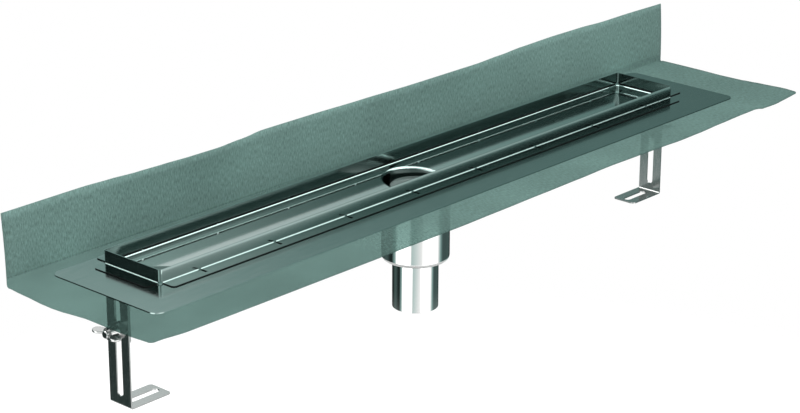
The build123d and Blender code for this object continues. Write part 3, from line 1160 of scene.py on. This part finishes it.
        hue = add_node(
            tree,
            "ShaderNodeMix",
            data_type="RGBA",
            in_0=tinted.outputs[0],
            in_6=(1.0, 1.0, 1.0, 1.0),
            in_7=linear(self.room_hue),
        )
        light = add_node(
            tree,
            "ShaderNodeBackground",
            in_Color=hue.outputs[2],
            in_Strength=level.outputs[0],
        )
        out = add_node(tree, "ShaderNodeOutputWorld")
        tree.links.new(light.outputs[0], out.inputs["Surface"])

    def floor(self) -> None:
        """Lay a round pale floor below the drain, white at its rim."""
        shape = bmesh.new()
        bmesh.ops.create_circle(shape, cap_ends=True, radius=self.floor_radius, segments=96)
        bmesh.ops.translate(shape, verts=shape.verts, vec=(0.0, 0.0, self.floor_level))
        mesh = bpy.data.meshes.new("studio_floor")
        shape.to_mesh(mesh)
        shape.free()
        floor = bpy.data.objects.new("studio_floor", mesh)
        bpy.context.scene.collection.objects.link(floor)
        material, tree, out = new_material("matt_white_card")
        place = add_node(tree, "ShaderNodeTexCoord")
        flat = add_node(
            tree,
            "ShaderNodeVectorMath",
            operation="MULTIPLY",
            in_0=place.outputs["Object"],
            in_1=(1.0, 1.0, 0.0),
        )
        away = add_node(tree, "ShaderNodeVectorMath", operation="LENGTH", in_0=flat.outputs[0])
        rim = add_node(
            tree,
            "ShaderNodeMapRange",
            interpolation_type="SMOOTHSTEP",
            in_Value=away.outputs["Value"],
            in_1=self.floor_radius * self.floor_fades_from,
            in_2=self.floor_radius * self.floor_ends_at,
            in_3=0.0,
            in_4=1.0,
        )
        path = add_node(tree, "ShaderNodeLightPath")
        white = (self.floor_white, self.floor_white, self.floor_white, 1.0)
        card = add_node(tree, "ShaderNodeBsdfDiffuse", in_Color=white)
        clear = add_node(tree, "ShaderNodeBsdfTransparent")
        lift = add_node(tree, "ShaderNodeEmission", in_Color=(1.0, 1.0, 1.0, 1.0))
        lift_level = add_node(
            tree,
            "ShaderNodeMath",
            operation="MULTIPLY",
            in_0=path.outputs["Is Camera Ray"],
            in_1=self.floor_lift,
        )
        tree.links.new(lift_level.outputs[0], lift.inputs["Strength"])
        lit = add_node(tree, "ShaderNodeAddShader", in_0=card.outputs[0], in_1=lift.outputs[0])
        both = add_node(
            tree,
            "ShaderNodeMixShader",
            in_0=rim.outputs[0],
            in_1=lit.outputs[0],
            in_2=clear.outputs[0],
        )
        tree.links.new(both.outputs[0], out.inputs["Surface"])
        mesh.materials.append(material)

    def lamp(self, name: str, at: Vector, power: float) -> None:
        """Hang a square soft lamp that points at the drain.

        Args:
            name: the lamp's name.
            at: its place in metres.
            power: its power in watts.
        """
        data = bpy.data.lights.new(name, "AREA")
        data.shape = "SQUARE"
        data.size = self.lamp_size
        data.energy = power
        lamp = bpy.data.objects.new(name, data)
        aim = Vector(self.lamp_aim) - at
        turn = aim.to_track_quat("-Z", "Y").to_matrix().to_4x4()
        lamp.matrix_world = Matrix.Translation(at) @ turn
        bpy.context.scene.collection.objects.link(lamp)

    def camera(self) -> None:
        """Set the camera at the photograph's viewing angle."""
        azimuth = math.radians(self.camera_azimuth)
        elevation = math.radians(self.camera_elevation)
        roll = math.radians(self.camera_roll)
        back = Vector(
            (
                math.sin(azimuth) * math.cos(elevation),
                -math.cos(azimuth) * math.cos(elevation),
                math.sin(elevation),
            )
        )
        side = Vector((math.cos(azimuth), math.sin(azimuth), 0.0))
        up = back.cross(side)
        right = side * math.cos(roll) + up * math.sin(roll)
        top = up * math.cos(roll) - side * math.sin(roll)
        place = Vector(self.camera_target) + back * self.camera_distance
        data = bpy.data.cameras.new("product_camera")
        width, height = self.frame_px
        data.sensor_width = 36.0
        data.lens = data.sensor_width * self.focal_px / width
        data.shift_x = (width / 2 - self.principal_px[0]) / width
        data.shift_y = (self.principal_px[1] - height / 2) / width
        camera = bpy.data.objects.new("product_camera", data)
        turn = Matrix((right, top, back)).transposed().to_4x4()
        camera.matrix_world = Matrix.Translation(place) @ turn
        bpy.context.scene.collection.objects.link(camera)
        bpy.context.scene.camera = camera

    def build(self) -> None:
        """Set up the studio."""
        self.world()
        self.floor()
        self.lamp("key_softbox", Vector((0.0, -1.2, 1.9)), 18.0)
        self.lamp("overhead_softbox", Vector((-0.6, -0.1, 2.2)), 22.0)
        self.camera()
        bpy.context.scene.view_settings.view_transform = "Standard"


def main() -> None:
    """Dress the drain piece by piece and set up the studio."""
    logging.basicConfig(level=logging.INFO, format="%(name)s: %(message)s")
    steel = MILL_SHEET.material()
    fastener = BRIGHT_FASTENER.material()
    Channel().build()
    Outlet().build()
    for end in End:
        LegSet(end, steel, fastener).build()
    SealingSheet().build()
    Studio().build()


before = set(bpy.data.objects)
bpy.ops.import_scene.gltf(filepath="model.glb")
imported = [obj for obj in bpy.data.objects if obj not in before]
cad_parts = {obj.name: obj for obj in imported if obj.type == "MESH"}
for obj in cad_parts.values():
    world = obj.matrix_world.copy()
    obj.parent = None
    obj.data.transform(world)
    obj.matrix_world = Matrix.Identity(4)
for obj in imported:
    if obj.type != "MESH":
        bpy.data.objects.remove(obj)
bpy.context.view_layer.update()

if __name__ == "__main__":
    main()
